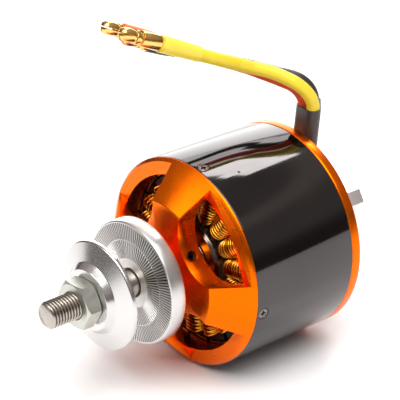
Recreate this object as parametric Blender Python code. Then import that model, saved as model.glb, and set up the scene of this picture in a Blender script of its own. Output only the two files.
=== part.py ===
"""Brushless outrunner motor for a large model aeroplane, lying on its side on its can.

Metres, +Z up. The shaft runs along Y with the propeller end towards -Y. The origin is on the
ground, under the middle of the motor. Turned shapes are drawn as (radius, y) outlines around
the shaft axis, and flat shapes as (x, z) outlines pushed along y.
"""

import math

import bmesh
import bpy
from mathutils import Euler, Vector

MM = 0.001

# Driving sizes. Stations along y are counted from the joint between front bell and can.
CAN_RADIUS = 31.5 * MM
CAN_LENGTH = 37.0 * MM
CAN_WALL = 2.0 * MM
SHAFT_RADIUS = 4.0 * MM
SHAFT_FRONT = -50.5 * MM
SHAFT_REAR = 45.0 * MM
MOUNT_BACK = 48.0 * MM
GAP = 0.3 * MM
JOINT_Y = -(SHAFT_FRONT + MOUNT_BACK) / 2  # centres the motor's length on the origin

POLES = 20
SLOTS = 18
FIRST_TOOTH = 10.0  # degrees round the shaft from +X
SPOKES = 4
SPOKE_ANGLE = -8.3  # degrees round the shaft from +X, of the first spoke of the front bell
WINDOW_ANGLE = SPOKE_ANGLE + 45.0
MOUNT_ANGLE = 32.0  # the first arm of the cross mount

# Rotor, from the can inwards.
CAN_BORE = CAN_RADIUS - CAN_WALL
MAGNET_OUTER = CAN_BORE - GAP
MAGNET_INNER = 26.2 * MM
MAGNET_SPAN = 15.6  # degrees of arc
MAGNET_BACKING = 28.6 * MM  # the glue line that joins the magnets to each other
LIP_INNER = 27.0 * MM
LIP_DEPTH = 5.2 * MM
REAR_RING_LENGTH = 3.5 * MM
REAR_LIP_FRONT = CAN_LENGTH - 3.3 * MM
RING_CHAMFER = 0.4 * MM
FACE_Y = -9.5 * MM  # flat front face of the bell
FACE_RADIUS = 21.7 * MM
PLATE_BACK = -3.1 * MM
NECK_RADIUS = 10.0 * MM
NECK_FRONT = -15.05 * MM
BOSS_RADIUS = 6.5 * MM
BOSS_BACK = 1.6 * MM
BELL_BORE = SHAFT_RADIUS + GAP
CIRCLIP_GROOVE = (42.9 * MM, 43.9 * MM)
CIRCLIP_DEPTH = 0.6 * MM
CIRCLIP_RADIUS = 5.6 * MM

# Windows in the bell, each open to the coils and sunk further out to a flat ledge.
WINDOW_HALF_ANGLE = 29.0
WINDOW_OUTER = 26.2 * MM
WINDOW_ARC_CENTRE = 26.8 * MM
WINDOW_ARC_RADIUS = 13.4 * MM
LEDGE_Y = -1.3 * MM
LEDGE_OUTER = 33.0 * MM

# Propeller clamp.
COLLAR_RADIUS = 18.5 * MM
COLLAR_BACK = -15.35 * MM
COLLAR_FRONT = -20.25 * MM
WASHER_RADIUS = 16.2 * MM
WASHER_BACK = -30.75 * MM
WASHER_EDGE = 1.5 * MM
WASHER_FACE = -33.8 * MM
WASHER_FRONT = -36.0 * MM
BOSS_FOOT_RADIUS = 10.6 * MM
NUT_SEAT_RADIUS = 9.0 * MM
NUT_FLATS = 13.0 * MM
NUT_HEIGHT = 4.7 * MM

# Screws that join can and bell, and set screws that hold the bell on the shaft.
BELL_SCREW_Y = 2.5 * MM
BELL_SCREW_ANGLE = -9.8
BELL_SCREW_HEAD = 1.75 * MM
BELL_SCREW_SHANK = 1.0 * MM
SET_SCREW_Y = -6.5 * MM
SET_SCREW_RADIUS = 1.5 * MM
SET_SCREW_OUTER = 12.6 * MM

# Stator.
CORE_FRONT = 4.9 * MM
CORE_BACK = 31.9 * MM
CORE_BORE = 13.3 * MM
CORE_YOKE = 15.4 * MM
TOOTH_WIDTH = 3.2 * MM
TIP_INNER = 23.6 * MM
TIP_OUTER = 25.5 * MM
TIP_SPAN = 16.5
COIL_INNER = 15.8 * MM
COIL_OUTER = 22.8 * MM
COIL_END = 2.8 * MM  # thickness of the turns past each end of the core
TUBE_RADIUS = 13.0 * MM
TUBE_BORE = 9.2 * MM
TUBE_FRONT = 1.8 * MM
FLANGE_FRONT = 38.2 * MM
FLANGE_BACK = 43.0 * MM
FLANGE_RADIUS = 23.0 * MM
VENT_INNER = 15.5 * MM
VENT_OUTER = 21.0 * MM
VENT_ANGLE = 22.0  # degrees either side of a vent's middle
BEARING_OUTER = 11.0 * MM
BEARING_RACE = 8.9 * MM
BEARING_CONE = 6.6 * MM
BEARING_WIDTH = 7.0 * MM
BEARING_STATIONS = (2.0 * MM, 35.7 * MM)

# Cross mount behind the stator flange.
MOUNT_FRONT = FLANGE_BACK + GAP
ARM_HALF_WIDTH = 5.5 * MM
ARM_TIP = 27.6 * MM
ARM_CHAMFER = 3.5 * MM
MOUNT_HUB = 15.5 * MM
MOUNT_BORE = 9.0 * MM
MOUNT_SCREW_PCR = 16.6 * MM
MOUNT_HOLE_PCR = 23.6 * MM
MOUNT_HOLE_RADIUS = 2.2 * MM
MOUNT_SCREW_HEAD = 3.6 * MM
MOUNT_SCREW_SHANK = 2.0 * MM
MOUNT_SCREW_FRONT = 39.0 * MM

# Leads: three round insulated leads, one behind the other where the sleeve holds them.
LEAD_RADIUS = 1.95 * MM
LEAD_PITCH = 4.25 * MM
LEAD_STEP = 7.0 * MM  # spacing of the points on a lead
SLEEVE_WALL = 0.5 * MM
WRAP_POINTS = 32
SLEEVE_FOOT = Vector((2.0, 46.6, 56.0)) * MM
SLEEVE_TOP = Vector((2.5, 47.6, 68.7)) * MM
NOTCH_FLOOR = 17.0 * MM
NOTCH_SIDES = (-3.2 * MM, 8.0 * MM)
BARREL_RADIUS = 2.35 * MM
PIN_RADIUS = 2.0 * MM
BARREL_LENGTH = 7.2 * MM
BULLET_LENGTH = 14.0 * MM

# Each lead's route in the air, in millimetres, from above the sleeve to its bullet connector.
YELLOW_ROUTE = (
    (5.4, 45.3, 71.9), (4.5, 43.7, 74.6), (3.0, 41.8, 76.8), (0.9, 39.7, 78.4),
    (-1.3, 37.6, 79.7), (-3.6, 35.2, 80.8), (-6.0, 31.4, 82.1), (-7.4, 25.0, 84.9),
    (-8.6, 18.3, 87.8), (-10.2, 10.9, 91.3), (-11.9, 2.8, 95.0),
)
RED_ROUTE = (
    (0.9, 45.5, 72.1), (-0.5, 43.5, 74.7), (-3.0, 40.7, 76.5), (-5.6, 38.7, 77.6),
    (-7.4, 37.1, 78.4), (-9.8, 34.8, 79.6), (-11.9, 31.1, 81.3), (-13.2, 26.2, 83.5),
    (-14.8, 21.1, 85.9), (-16.5, 15.7, 88.5), (-17.9, 9.4, 91.4), (-19.4, 2.6, 94.6),
)
BLACK_ROUTE = (
    (-0.2, 50.0, 71.9), (-1.7, 48.3, 74.4), (-4.0, 46.2, 75.8), (-7.4, 44.0, 76.3),
    (-9.5, 43.1, 76.6), (-10.6, 42.6, 76.7), (-14.8, 40.6, 77.1), (-18.0, 37.7, 77.9),
    (-20.7, 32.3, 79.9), (-21.8, 26.1, 82.4), (-23.1, 20.4, 84.9), (-24.5, 14.0, 87.5),
)
# Place of each lead in the sleeve, counted in lead pitches: across the bundle and to its front.
BUNDLE = {
    "lead_yellow": (0.20, 0.80),
    "lead_red": (-0.35, -0.02),
    "lead_black": (0.25, -0.82),
}
BUNDLE_ACROSS = Vector((0.657, 0.754, 0.0))
BUNDLE_FRONT = Vector((0.754, -0.657, 0.0))

# How far along y the cutters reach: through the bell, the core, the flange and the cross mount.
BELL_CUT = (-20.0 * MM, 2.0 * MM)
CORE_CUT = (0.0, 40.0 * MM)
FLANGE_CUT = (30.0 * MM, 50.0 * MM)
MOUNT_CUT = (40.0 * MM, 50.0 * MM)

ROUND = 64  # facets of the large round pieces
SMALL_ROUND = 32
SCREW_ROUND = 16
CURVE_STEPS = 16  # fine steps between two points of a lead's route


def material(name, colour, roughness, metallic):
    made = bpy.data.materials.new(name)
    made.use_nodes = True
    shader = made.node_tree.nodes["Principled BSDF"]
    shader.inputs["Base Color"].default_value = (*colour, 1.0)
    shader.inputs["Roughness"].default_value = roughness
    shader.inputs["Metallic"].default_value = metallic
    return made


def add_object(name, bm, finish, parent):
    """Turns a closed bmesh into an object whose faces point out."""
    bmesh.ops.recalc_face_normals(bm, faces=bm.faces)
    if bm.calc_volume(signed=True) < 0:
        bmesh.ops.reverse_faces(bm, faces=bm.faces)
    mesh = bpy.data.meshes.new(name)
    bm.to_mesh(mesh)
    bm.free()
    mesh.shade_smooth()
    mesh.set_sharp_from_angle(angle=math.radians(30))
    made = bpy.data.objects.new(name, mesh)
    bpy.context.scene.collection.objects.link(made)
    if finish:
        made.data.materials.append(finish)
    if parent:
        made.parent = parent
    return made


def ring_of_points(bm, radius, y, count, phase=0.0):
    turns = [phase + 2 * math.pi * i / count for i in range(count)]
    return [bm.verts.new((radius * math.cos(a), y, radius * math.sin(a))) for a in turns]


def bridge(bm, first, second):
    count = len(first)
    for i in range(count):
        j = (i + 1) % count
        bm.faces.new((first[i], first[j], second[j], second[i]))


def turned(name, outline, finish, parent, facets=ROUND):
    """A ring or disc turned around y from a closed (radius, y) outline."""
    bm = bmesh.new()
    rings = [ring_of_points(bm, radius, y, facets) for radius, y in outline if radius > 0]
    for first, second in zip(rings, rings[1:]):
        bridge(bm, first, second)
    if len(rings) == len(outline):
        bridge(bm, rings[-1], rings[0])
    else:
        bm.faces.new(rings[0])
        bm.faces.new(rings[-1])
    return add_object(name, bm, finish, parent)


def prism(name, outline, y_front, y_back, finish, parent, hole=None):
    """An (x, z) outline pushed along y; a hole is an outline with as many points."""
    bm = bmesh.new()
    front = [bm.verts.new((x, y_front, z)) for x, z in outline]
    back = [bm.verts.new((x, y_back, z)) for x, z in outline]
    bridge(bm, front, back)
    if hole:
        hole_front = [bm.verts.new((x, y_front, z)) for x, z in hole]
        hole_back = [bm.verts.new((x, y_back, z)) for x, z in hole]
        bridge(bm, hole_front, hole_back)
        bridge(bm, front, hole_front)
        bridge(bm, back, hole_back)
    else:
        bm.faces.new(front)
        bm.faces.new(back)
    return add_object(name, bm, finish, parent)


def polar(radius, degrees):
    return radius * math.cos(math.radians(degrees)), radius * math.sin(math.radians(degrees))


def arc(radius, start, end, steps, centre=(0.0, 0.0)):
    """Points on a circular arc, in degrees, with both ends."""
    points = [polar(radius, start + (end - start) * i / steps) for i in range(steps + 1)]
    return [(x + centre[0], z + centre[1]) for x, z in points]


def rotated(outline, degrees):
    c, s = math.cos(math.radians(degrees)), math.sin(math.radians(degrees))
    return [(x * c - z * s, x * s + z * c) for x, z in outline]


def point_outward(obj, degrees, y):
    """Turns an object drawn along +Z so that it points out from the shaft at this angle."""
    obj.rotation_euler = Euler((0.0, math.radians(90.0 - degrees), 0.0))
    obj.location = (0.0, y, 0.0)


def upright(name, outline, finish, parent, facets=SCREW_ROUND):
    """A solid turned around z from (radius, z) pairs, from one end to the other."""
    bm = bmesh.new()
    rings = []
    for radius, z in outline:
        turns = [2 * math.pi * i / facets for i in range(facets)]
        rings.append([bm.verts.new((radius * math.cos(a), radius * math.sin(a), z)) for a in turns])
    for first, second in zip(rings, rings[1:]):
        bridge(bm, first, second)
    bm.faces.new(rings[0])
    bm.faces.new(rings[-1])
    return add_object(name, bm, finish, parent)


def cut(target, cutter):
    cutter.hide_render = True
    cutter.display_type = "WIRE"
    trim = target.modifiers.new(cutter.name, "BOOLEAN")
    trim.operation = "DIFFERENCE"
    trim.solver = "EXACT"
    trim.object = cutter


def window_outline(outer):
    """A window between two spokes: radial sides, round outer edge, arc-shaped hub wall."""
    centre = WINDOW_ARC_CENTRE * math.cos(math.radians(WINDOW_HALF_ANGLE))
    offset = WINDOW_ARC_CENTRE * math.sin(math.radians(WINDOW_HALF_ANGLE))
    inner = centre - math.sqrt(WINDOW_ARC_RADIUS**2 - offset**2)
    corner_x, corner_z = polar(inner, WINDOW_HALF_ANGLE)
    corner = math.degrees(math.atan2(corner_z, corner_x - WINDOW_ARC_CENTRE))
    edge = arc(outer, -WINDOW_HALF_ANGLE, WINDOW_HALF_ANGLE, 12)
    hub = arc(WINDOW_ARC_RADIUS, corner, 360 - corner, 12, (WINDOW_ARC_CENTRE, 0.0))
    return rotated(edge + hub, WINDOW_ANGLE)


def make_front_bell(finish, rotor):
    bell = turned(
        "front_bell",
        (
            (BELL_BORE, NECK_FRONT), (NECK_RADIUS, NECK_FRONT), (NECK_RADIUS, FACE_Y),
            (FACE_RADIUS, FACE_Y), (CAN_RADIUS, -GAP), (CAN_RADIUS, -GAP / 2),
            (MAGNET_OUTER, -GAP / 2), (MAGNET_OUTER, LIP_DEPTH), (LIP_INNER, LIP_DEPTH),
            (LIP_INNER, LEDGE_Y + GAP), (MAGNET_INNER - 2 * MM, PLATE_BACK),
            (BOSS_RADIUS, PLATE_BACK), (BOSS_RADIUS, BOSS_BACK), (BELL_BORE, BOSS_BACK),
        ),
        finish,
        rotor,
    )
    for i in range(SPOKES):
        opening = window_outline(WINDOW_OUTER)
        ledge = window_outline(LEDGE_OUTER)
        turn = i * 360 / SPOKES
        cut(bell, prism(f"cut_opening_{i}", rotated(opening, turn), *BELL_CUT, None, rotor))
        cut(bell, prism(f"cut_ledge_{i}", rotated(ledge, turn), BELL_CUT[0], LEDGE_Y, None, rotor))
        screw = ((BELL_SCREW_SHANK + GAP, LIP_INNER - MM), (BELL_SCREW_SHANK + GAP, CAN_RADIUS + MM))
        hole = upright(f"cut_screw_{i}", screw, None, rotor)
        point_outward(hole, BELL_SCREW_ANGLE + turn, BELL_SCREW_Y)
        cut(bell, hole)
    for i in range(2):
        radius = SET_SCREW_RADIUS + GAP
        tapped = ((radius, BELL_BORE - MM), (radius, SET_SCREW_OUTER + 3 * MM))
        hole = upright(f"cut_set_{i}", tapped, None, rotor)
        point_outward(hole, WINDOW_ANGLE + i * 90, SET_SCREW_Y)
        cut(bell, hole)


def make_can(steel, alloy, magnet, rotor):
    can = turned(
        "flux_ring",
        (
            (CAN_BORE, GAP / 2), (CAN_RADIUS, GAP / 2),
            (CAN_RADIUS, CAN_LENGTH - GAP / 2), (CAN_BORE, CAN_LENGTH - GAP / 2),
        ),
        steel,
        rotor,
    )
    for i in range(SPOKES):
        head = ((BELL_SCREW_HEAD + GAP, CAN_BORE - MM), (BELL_SCREW_HEAD + GAP, CAN_RADIUS + MM))
        hole = upright(f"cut_head_{i}", head, None, rotor)
        point_outward(hole, BELL_SCREW_ANGLE + i * 360 / SPOKES, BELL_SCREW_Y)
        cut(can, hole)
    back = CAN_LENGTH + REAR_RING_LENGTH
    turned(
        "rear_ring",
        (
            (LIP_INNER, REAR_LIP_FRONT), (MAGNET_OUTER, REAR_LIP_FRONT),
            (MAGNET_OUTER, CAN_LENGTH + GAP / 2), (CAN_RADIUS, CAN_LENGTH + GAP / 2),
            (CAN_RADIUS, back - RING_CHAMFER), (CAN_RADIUS - RING_CHAMFER, back), (LIP_INNER, back),
        ),
        alloy,
        rotor,
    )
    gap = 180 / POLES - MAGNET_SPAN / 2
    outline = []
    for i in range(POLES):
        pole = arc(MAGNET_INNER, -MAGNET_SPAN / 2, MAGNET_SPAN / 2, 3)
        groove = arc(MAGNET_BACKING, MAGNET_SPAN / 2, MAGNET_SPAN / 2 + 2 * gap, 1)
        outline += rotated(pole + groove, i * 360 / POLES)
    hole = [polar(MAGNET_OUTER, math.degrees(math.atan2(z, x))) for x, z in outline]
    ends = LIP_DEPTH + GAP, REAR_LIP_FRONT - GAP
    prism("magnet_ring", outline, *ends, magnet, rotor, hole)


def make_shaft(steel, rotor):
    groove = CIRCLIP_GROOVE
    bottom = SHAFT_RADIUS - CIRCLIP_DEPTH
    turned(
        "shaft",
        (
            (SHAFT_RADIUS - 0.8 * MM, SHAFT_FRONT), (SHAFT_RADIUS, SHAFT_FRONT + 0.8 * MM),
            (SHAFT_RADIUS, groove[0]), (bottom, groove[0]),
            (bottom, groove[1]), (SHAFT_RADIUS, groove[1]),
            (SHAFT_RADIUS, SHAFT_REAR - 0.5 * MM), (SHAFT_RADIUS - 0.5 * MM, SHAFT_REAR),
            (0.0, SHAFT_REAR),
        ),
        steel,
        rotor,
        SMALL_ROUND,
    )
    outer = arc(CIRCLIP_RADIUS, 35, 325, 16)
    inner = arc(bottom + GAP, 325, 35, 16)
    prism("circlip", outer + inner, groove[0] + 0.2 * MM, groove[1] - 0.2 * MM, steel, rotor)


def make_rotor_screws(steel, rotor):
    for i in range(SPOKES):
        top = CAN_RADIUS - 0.1 * MM
        outline = (
            (BELL_SCREW_SHANK, LIP_INNER + 0.4 * MM), (BELL_SCREW_SHANK, top - 1.4 * MM),
            (BELL_SCREW_HEAD, top - 0.4 * MM), (BELL_SCREW_HEAD, top),
        )
        screw = upright(f"bell_screw_{i + 1}", outline, steel, rotor)
        point_outward(screw, BELL_SCREW_ANGLE + i * 360 / SPOKES, BELL_SCREW_Y)
    for i in range(2):
        outline = ((SET_SCREW_RADIUS, BELL_BORE), (SET_SCREW_RADIUS, SET_SCREW_OUTER))
        screw = upright(f"set_screw_{i + 1}", outline, steel, rotor)
        point_outward(screw, WINDOW_ANGLE + i * 90, SET_SCREW_Y)


def make_bearings(steel, rotor, stator):
    for name, front in zip(("front", "rear"), BEARING_STATIONS):
        back = front + BEARING_WIDTH
        inner = SHAFT_RADIUS + GAP
        cone = ((inner, front), (BEARING_CONE, front), (BEARING_CONE, back), (inner, back))
        turned(f"{name}_bearing_inner", cone, steel, rotor, SMALL_ROUND)
        race = (
            (BEARING_RACE, front), (BEARING_OUTER, front),
            (BEARING_OUTER, back), (BEARING_RACE, back),
        )
        turned(f"{name}_bearing_outer", race, steel, stator, SMALL_ROUND)


def make_collar(alloy, rotor):
    edge = 0.5 * MM
    turned(
        "prop_collar",
        (
            (BELL_BORE, COLLAR_BACK), (COLLAR_RADIUS - edge, COLLAR_BACK),
            (COLLAR_RADIUS, COLLAR_BACK - edge), (COLLAR_RADIUS, COLLAR_FRONT + edge),
            (COLLAR_RADIUS - edge, COLLAR_FRONT), (BELL_BORE, COLLAR_FRONT),
        ),
        alloy,
        rotor,
    )


def make_washer(alloy, clamp):
    turned(
        "cone_washer",
        (
            (BELL_BORE, WASHER_BACK), (WASHER_RADIUS, WASHER_BACK),
            (WASHER_RADIUS, WASHER_BACK - WASHER_EDGE), (BOSS_FOOT_RADIUS, WASHER_FACE),
            (NUT_SEAT_RADIUS, WASHER_FRONT), (BELL_BORE, WASHER_FRONT),
        ),
        alloy,
        clamp,
    )


def make_nut(steel, nut):
    corner = NUT_FLATS / 2 / math.cos(math.radians(30))
    corners = [polar(corner, 60 * i) for i in range(6)]
    outline = []
    for (x, z), (next_x, next_z) in zip(corners, corners[1:] + corners[:1]):
        steps = (0.0, 0.25, 0.5, 0.75)
        outline += [(x + (next_x - x) * t, z + (next_z - z) * t) for t in steps]
    hole = [polar(BELL_BORE, 15 * i) for i in range(24)]
    back = WASHER_FRONT - GAP
    prism("prop_nut", outline, back - NUT_HEIGHT, back, steel, nut, hole)


def core_outline():
    """The toothed outline of the lamination stack."""
    half = TOOTH_WIDTH / 2
    tip = TIP_SPAN / 2
    foot = math.degrees(math.asin(half / CORE_YOKE))
    neck = math.degrees(math.asin(half / TIP_INNER))
    pitch = 360 / SLOTS
    tooth = [polar(CORE_YOKE, -foot), polar(TIP_INNER, -neck), polar(TIP_INNER, -tip)]
    tooth += arc(TIP_OUTER, -tip, tip, 4)
    tooth += [polar(TIP_INNER, tip), polar(TIP_INNER, neck), polar(CORE_YOKE, foot)]
    tooth += [polar(CORE_YOKE, pitch / 2)]
    points = []
    for i in range(SLOTS):
        points += rotated(tooth, FIRST_TOOTH + i * pitch)
    return points


def make_core(steel, stator):
    core = prism("stator_core", core_outline(), CORE_FRONT, CORE_BACK, steel, stator)
    bore = arc(CORE_BORE, 0, 352.5, 47)
    cut(core, prism("cut_core_bore", bore, *CORE_CUT, None, stator))


def loop_around(half_width, front, back, corner):
    """A rectangle with round corners, as (x, y) points."""
    points = []
    centres = (
        (half_width - corner, back - corner), (corner - half_width, back - corner),
        (corner - half_width, front + corner), (half_width - corner, front + corner),
    )
    for quarter, (x, y) in enumerate(centres):
        for step in range(3):
            a = math.radians(90 * quarter + 45 * step)
            points.append((x + corner * math.cos(a), y + corner * math.sin(a)))
    return points


def make_coils(copper, stator):
    clear = TOOTH_WIDTH / 2 + GAP
    front, back = CORE_FRONT - GAP, CORE_BACK + GAP
    half_slot = math.tan(math.radians(180 / SLOTS))
    for i in range(SLOTS):
        bm = bmesh.new()
        rings = []
        for depth in (COIL_INNER, COIL_OUTER):
            inner = loop_around(clear, front, back, 0.3 * MM)
            width = depth * half_slot - GAP
            outer = loop_around(width, front - COIL_END, back + COIL_END, width * 0.6)
            loops = (inner, outer) if depth == COIL_INNER else (outer, inner)
            for loop in loops:
                rings.append([bm.verts.new((x, y, depth)) for x, y in loop])
        for first, second in zip(rings, rings[1:] + rings[:1]):
            bridge(bm, first, second)
        coil = add_object(f"coil_{i + 1:02d}", bm, copper, stator)
        coil.rotation_euler = Euler((0.0, math.radians(90 - FIRST_TOOTH - i * 360 / SLOTS), 0.0))


def make_stator_base(alloy, stator):
    front_seat = BEARING_STATIONS[0] + BEARING_WIDTH + GAP
    rear_seat = BEARING_STATIONS[1] - GAP
    seat = BEARING_OUTER + GAP
    base = turned(
        "stator_base",
        (
            (seat, TUBE_FRONT), (TUBE_RADIUS, TUBE_FRONT), (TUBE_RADIUS, FLANGE_FRONT),
            (FLANGE_RADIUS, FLANGE_FRONT), (FLANGE_RADIUS, FLANGE_BACK), (seat, FLANGE_BACK),
            (seat, rear_seat), (TUBE_BORE, rear_seat), (TUBE_BORE, front_seat),
            (seat, front_seat),
        ),
        alloy,
        stator,
    )
    left, right = NOTCH_SIDES
    past = FLANGE_RADIUS + 2 * MM
    notch = [(left, NOTCH_FLOOR), (right, NOTCH_FLOOR), (right, past), (left, past)]
    cut(base, prism("cut_notch", notch, *FLANGE_CUT, None, stator))
    for i in range(3):
        vent = arc(VENT_OUTER, -VENT_ANGLE, VENT_ANGLE, 8) + arc(VENT_INNER, VENT_ANGLE, -VENT_ANGLE, 8)
        turn = MOUNT_ANGLE + 135 + i * 90
        cut(base, prism(f"cut_vent_{i}", rotated(vent, turn), *FLANGE_CUT, None, stator))
    for i in range(4):
        x, z = polar(MOUNT_SCREW_PCR, MOUNT_ANGLE + 90 * i)
        hole = [(x + dx, z + dz) for dx, dz in arc(MOUNT_SCREW_SHANK + GAP, 0, 330, 11)]
        cut(base, prism(f"cut_tapped_{i}", hole, *FLANGE_CUT, None, stator))


def mount_outline():
    """A cross with four arms, chamfered tips and a round hub between the arms."""
    shoulder = math.degrees(math.asin(ARM_HALF_WIDTH / MOUNT_HUB))
    arm = [
        (ARM_TIP - ARM_CHAMFER, -ARM_HALF_WIDTH), (ARM_TIP, ARM_CHAMFER - ARM_HALF_WIDTH),
        (ARM_TIP, ARM_HALF_WIDTH - ARM_CHAMFER), (ARM_TIP - ARM_CHAMFER, ARM_HALF_WIDTH),
    ]
    points = []
    for i in range(4):
        points += rotated(arm + arc(MOUNT_HUB, shoulder, 90 - shoulder, 4), MOUNT_ANGLE + 90 * i)
    return points


def make_mount(alloy, steel, stator):
    mount = prism("cross_mount", mount_outline(), MOUNT_FRONT, MOUNT_BACK, alloy, stator)
    bore = arc(MOUNT_BORE, 0, 352.5, 47)
    cut(mount, prism("cut_bore", bore, *MOUNT_CUT, None, stator))
    for i in range(4):
        x, z = polar(MOUNT_HOLE_PCR, MOUNT_ANGLE + 90 * i)
        hole = [(x + dx, z + dz) for dx, dz in arc(MOUNT_HOLE_RADIUS, 0, 337.5, 15)]
        cut(mount, prism(f"cut_hole_{i}", hole, *MOUNT_CUT, None, stator))
        head_depth = MOUNT_SCREW_HEAD - MOUNT_SCREW_SHANK
        top = MOUNT_BACK - GAP
        outline = (
            (MOUNT_SCREW_SHANK, MOUNT_SCREW_FRONT), (MOUNT_SCREW_SHANK, top - head_depth),
            (MOUNT_SCREW_HEAD, top),
        )
        wide = [(radius + GAP, y) for radius, y in outline[1:]]
        front, back = MOUNT_CUT
        sink = [(MOUNT_SCREW_SHANK + GAP, front)] + wide + [(MOUNT_SCREW_HEAD + GAP, back)]
        sunk = along_y(f"cut_sink_{i}", sink, None, stator)
        screw = along_y(f"mount_screw_{i + 1}", outline, steel, stator)
        for piece in (sunk, screw):
            x, z = polar(MOUNT_SCREW_PCR, MOUNT_ANGLE + 90 * i)
            piece.location = (x, 0.0, z)
        cut(mount, sunk)


def along_y(name, outline, finish, parent):
    """A screw-like solid turned around its own y axis from (radius, y) pairs."""
    bm = bmesh.new()
    rings = [ring_of_points(bm, radius, y, SCREW_ROUND) for radius, y in outline]
    for first, second in zip(rings, rings[1:]):
        bridge(bm, first, second)
    bm.faces.new(rings[0])
    bm.faces.new(rings[-1])
    return add_object(name, bm, finish, parent)


def bundle_offset(name):
    across, front = BUNDLE[name]
    return (BUNDLE_ACROSS * across + BUNDLE_FRONT * front) * LEAD_PITCH


def smooth_points(route):
    """Evenly spaced points on a Catmull-Rom curve through the route."""
    ends = [2 * route[0] - route[1]] + route + [2 * route[-1] - route[-2]]
    dense = []
    for a, b, c, d in zip(ends, ends[1:], ends[2:], ends[3:]):
        for step in range(CURVE_STEPS):
            t = step / CURVE_STEPS
            dense.append(
                0.5 * (2 * b + (c - a) * t + (2 * a - 5 * b + 4 * c - d) * t * t
                       + (3 * b - a - 3 * c + d) * t * t * t)
            )
    dense.append(route[-1])
    length = sum((q - p).length for p, q in zip(dense, dense[1:]))
    count = max(2, round(length / LEAD_STEP))
    points, walked, target = [dense[0]], 0.0, length / count
    for p, q in zip(dense, dense[1:]):
        walked += (q - p).length
        if walked >= target * len(points) and len(points) < count:
            points.append(q)
    return points + [route[-1]]


def lead_route(name, route_mm):
    """From the notch in the stator flange, straight up through the sleeve, then the free route."""
    lean = (SLEEVE_TOP - SLEEVE_FOOT) / (SLEEVE_TOP.z - SLEEVE_FOOT.z)
    start_z = CAN_RADIUS + NOTCH_FLOOR + GAP
    start = SLEEVE_FOOT + lean * (start_z - SLEEVE_FOOT.z)
    offset = bundle_offset(name)
    inside = [point + offset for point in (start, SLEEVE_FOOT, SLEEVE_TOP)]
    return inside, [Vector(point) * MM for point in route_mm]


def make_lead(name, route_mm, finish):
    inside, free = lead_route(name, route_mm)
    points = inside[:2] + smooth_points([inside[2]] + free)
    curve = bpy.data.curves.new(name, "CURVE")
    curve.dimensions = "3D"
    curve.bevel_depth = LEAD_RADIUS
    curve.bevel_resolution = 2
    curve.use_fill_caps = True
    spline = curve.splines.new("POLY")
    spline.points.add(len(points) - 1)
    for slot, point in zip(spline.points, points):
        slot.co = (*point, 1.0)
    lead = bpy.data.objects.new(name, curve)
    lead.data.materials.append(finish)
    bpy.context.scene.collection.objects.link(lead)
    return points[-2], points[-1]


def make_bullet(name, lead_end, gold):
    """A solid bullet connector in line with the end of its lead."""
    before, end = lead_end
    direction = (end - before).normalized()
    outline = (
        (BARREL_RADIUS, GAP), (BARREL_RADIUS, BARREL_LENGTH), (PIN_RADIUS - 0.5 * MM, BARREL_LENGTH),
        (PIN_RADIUS, BARREL_LENGTH + 1.5 * MM), (PIN_RADIUS, BULLET_LENGTH - MM),
        (PIN_RADIUS - 0.6 * MM, BULLET_LENGTH),
    )
    bullet = upright(name, outline, gold, None)
    bullet.rotation_euler = direction.to_track_quat("Z", "Y").to_euler()
    bullet.location = end


def wrap_outline(offset):
    """The tight outline round the bundle, at this distance from the lead centres, in the air."""
    centres = [Vector(place) * LEAD_PITCH for place in BUNDLE.values()]
    points = []
    for i in range(WRAP_POINTS):
        outward = Vector(polar(1.0, 360 * i / WRAP_POINTS))
        point = max(centres, key=outward.dot) + outward * offset
        points.append(BUNDLE_ACROSS * point.x + BUNDLE_FRONT * point.y)
    return points


def make_sleeve(finish):
    bm = bmesh.new()
    inner = wrap_outline(LEAD_RADIUS + GAP)
    outer = wrap_outline(LEAD_RADIUS + GAP + SLEEVE_WALL)
    rings = []
    for end, outline in (
        (SLEEVE_FOOT, inner), (SLEEVE_FOOT, outer), (SLEEVE_TOP, outer), (SLEEVE_TOP, inner),
    ):
        rings.append([bm.verts.new(end + point) for point in outline])
    for first, second in zip(rings, rings[1:] + rings[:1]):
        bridge(bm, first, second)
    add_object("lead_sleeve", bm, finish, None)


def add_axis(name):
    """An empty on the shaft axis, at the station where bell and can meet."""
    empty = bpy.data.objects.new(name, None)
    empty.location = (0.0, JOINT_Y, CAN_RADIUS)
    bpy.context.scene.collection.objects.link(empty)
    return empty


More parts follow.
